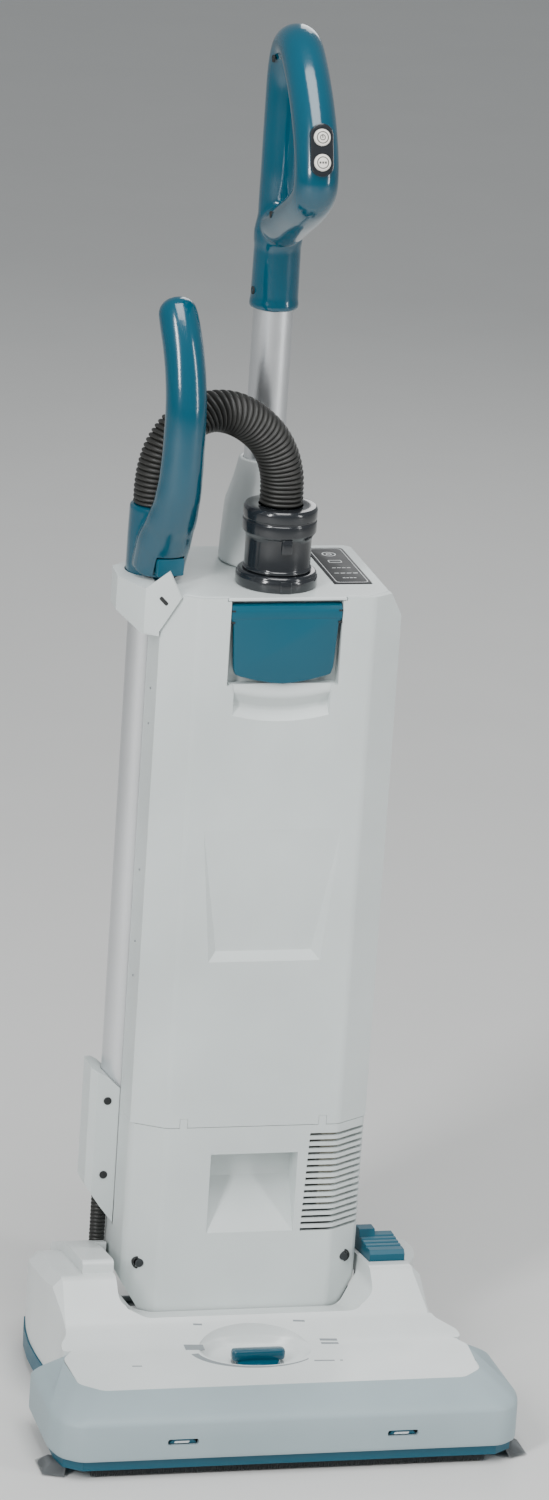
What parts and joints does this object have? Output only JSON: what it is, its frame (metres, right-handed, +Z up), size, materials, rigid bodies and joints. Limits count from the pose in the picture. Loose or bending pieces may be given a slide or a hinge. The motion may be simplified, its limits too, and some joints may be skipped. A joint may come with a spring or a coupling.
{
  "type": "upright vacuum cleaner",
  "caption": "Cordless commercial upright vacuum: flat box body on a wide brush head, D-loop handle on a tube, stretch hose and clip-on wand at its left side.",
  "frame": {"origin": "on the floor, under the middle of the whole machine's box", "axes": "+X to the right of someone who looks at the front, -Y out of the front, +Z up"},
  "size_m": [0.435, 0.36, 1.2105],
  "materials": {
    "housing_white": "satin",
    "teal_gloss": "gloss",
    "teal_satin": "satin",
    "bumper_grey": "satin",
    "black_gloss": "gloss",
    "black_matte": "matte",
    "hose_black": "satin",
    "rubber_black": "matte",
    "wheel_grey": "matte",
    "bristle_grey": "matte",
    "anodised_tube": "satin",
    "motor_casting": "satin",
    "steel": "satin",
    "filter_paper": "matte",
    "filter_felt": "matte",
    "bag_fleece": "matte",
    "ivory": "satin",
    "board_green": "satin"
  },
  "bodies": {
    "head": {"head_base": "teal_satin", "head_cover": "housing_white", "bumper": "bumper_grey", "bumper_clip_left": "teal_satin", "bumper_clip_right": "teal_satin", "front_strip": "rubber_black", "side_brush_left": "bristle_grey", "side_brush_right": "bristle_grey", "roller_bearing_left": "steel", "roller_bearing_right": "steel", "drive_belt": "rubber_black", "brush_motor": "steel", "rear_axle": "steel", "pivot_pin_left": "steel", "pivot_pin_right": "steel", "pedal_spring": "steel"},
    "brush": {"brush_roller": "bristle_grey"},
    "pulley": {"motor_pulley": "steel"},
    "wheel_left": {"rear_wheel_left": "wheel_grey"},
    "wheel_right": {"rear_wheel_right": "wheel_grey"},
    "castor_left": {"front_roller_left": "wheel_grey"},
    "castor_right": {"front_roller_right": "wheel_grey"},
    "knob": {"height_knob": "teal_gloss"},
    "pedal": {"release_pedal": "teal_satin"},
    "upright": {"lower_housing": "housing_white", "rear_housing": "housing_white", "top_deck": "housing_white", "display_panel": "black_gloss", "control_board": "board_green", "suction_motor": "motor_casting", "motor_seal": "rubber_black", "pre_filter": "filter_felt", "exhaust_filter": "filter_paper", "dust_bag": "bag_fleece", "bag_collar": "filter_paper", "battery_left": "black_matte", "battery_right": "black_matte", "door_pin": "steel", "housing_screw_left": "steel", "housing_screw_right": "steel", "hose_cuff": "black_gloss", "suction_hose": "hose_black", "wand_cup": "housing_white", "wand_bracket": "housing_white", "duct_hose": "hose_black", "tube_socket": "housing_white", "handle_tube": "anodised_tube", "handle_shell_left": "teal_gloss", "handle_shell_right": "teal_gloss", "control_panel": "black_gloss"},
    "fan": {"impeller": "ivory"},
    "door": {"bag_door": "housing_white"},
    "latch": {"door_latch": "teal_satin"},
    "lock": {"lock_ring": "black_gloss"},
    "battery_cover": {"battery_door": "housing_white"},
    "power": {"power_button": "ivory"},
    "mode": {"mode_button": "ivory"},
    "wand": {"wand_handle": "teal_gloss", "wand_tube": "anodised_tube"},
    "wand_release": {"wand_button": "teal_gloss"}
  },
  "joints": [
    {"name": "body_tilt", "type": "hinge", "parent": "head", "child": "upright", "pos_m": [0, 0.128, 0.078], "axis": [-1, 0, 0], "range_deg": [0, 80], "deforming": ["duct_hose"]},
    {"name": "wheel_left_spin", "type": "hinge", "parent": "head", "child": "wheel_left", "pos_m": [-0.1505, 0.122, 0.038], "axis": [1, 0, 0], "continuous": true},
    {"name": "wheel_right_spin", "type": "hinge", "parent": "head", "child": "wheel_right", "pos_m": [0.1505, 0.122, 0.038], "axis": [1, 0, 0], "continuous": true},
    {"name": "castor_left_spin", "type": "hinge", "parent": "head", "child": "castor_left", "pos_m": [-0.118, -0.072, 0.012], "axis": [1, 0, 0], "continuous": true},
    {"name": "castor_right_spin", "type": "hinge", "parent": "head", "child": "castor_right", "pos_m": [0.118, -0.072, 0.012], "axis": [1, 0, 0], "continuous": true},
    {"name": "brush_spin", "type": "hinge", "parent": "head", "child": "brush", "pos_m": [0, -0.122, 0.031], "axis": [1, 0, 0], "continuous": true},
    {"name": "pulley_spin", "type": "hinge", "parent": "head", "child": "pulley", "pos_m": [0.1715, -0.06, 0.038], "axis": [1, 0, 0], "continuous": true},
    {"name": "height_adjust", "type": "hinge", "parent": "head", "child": "knob", "pos_m": [-0.009, -0.077, 0.06], "axis": [0, 0, 1], "range_deg": [-60, 60]},
    {"name": "pedal_press", "type": "hinge", "parent": "head", "child": "pedal", "pos_m": [0.1305, 0.021, 0.104], "axis": [-1, 0, 0], "range_deg": [0, 10], "stiffness_Nm_per_rad": 3, "springref_deg": -5.73, "deforming": ["pedal_spring"]},
    {"name": "impeller_spin", "type": "hinge", "parent": "upright", "child": "fan", "pos_m": [0.02, 0.115, 0.205], "axis": [0, 0, 1], "continuous": true},
    {"name": "door_open", "type": "hinge", "parent": "upright", "child": "door", "pos_m": [0, 0.025, 0.245], "axis": [1, 0, 0], "range_deg": [0, 70]},
    {"name": "latch_lift", "type": "hinge", "parent": "door", "child": "latch", "pos_m": [0, 0.033, 0.706], "axis": [-1, 0, 0], "range_deg": [0, 14], "stiffness_Nm_per_rad": 0.5, "springref_deg": -17.19},
    {"name": "lock_turn", "type": "hinge", "parent": "upright", "child": "lock", "pos_m": [0, 0.0691, 0.735], "axis": [0, 0, 1], "range_deg": [0, 30]},
    {"name": "battery_open", "type": "hinge", "parent": "upright", "child": "battery_cover", "pos_m": [0, 0.1796, 0.2906], "axis": [-1, 0, 0], "range_deg": [0, 80]},
    {"name": "wand_lift", "type": "slide", "parent": "upright", "child": "wand", "axis": [0, 0, 1], "range_m": [0, 0.12], "deforming": ["suction_hose"]},
    {"name": "wand_button_press", "type": "slide", "parent": "wand", "child": "wand_release", "axis": [-0.1736, 0.9848, 0], "range_m": [0, 0.003], "stiffness_N_per_m": 400, "springref_m": -0.003},
    {"name": "power_press", "type": "slide", "parent": "upright", "child": "power", "axis": [0, 0.9532, -0.3022], "range_m": [0, 0.0015], "stiffness_N_per_m": 400, "springref_m": -0.002},
    {"name": "mode_press", "type": "slide", "parent": "upright", "child": "mode", "axis": [0, 0.9532, -0.3022], "range_m": [0, 0.0015], "stiffness_N_per_m": 400, "springref_m": -0.002}
  ],
  "couplings": [
    {"joint": "pulley_spin", "follows": "brush_spin", "ratio": 1.7143}
  ]
}
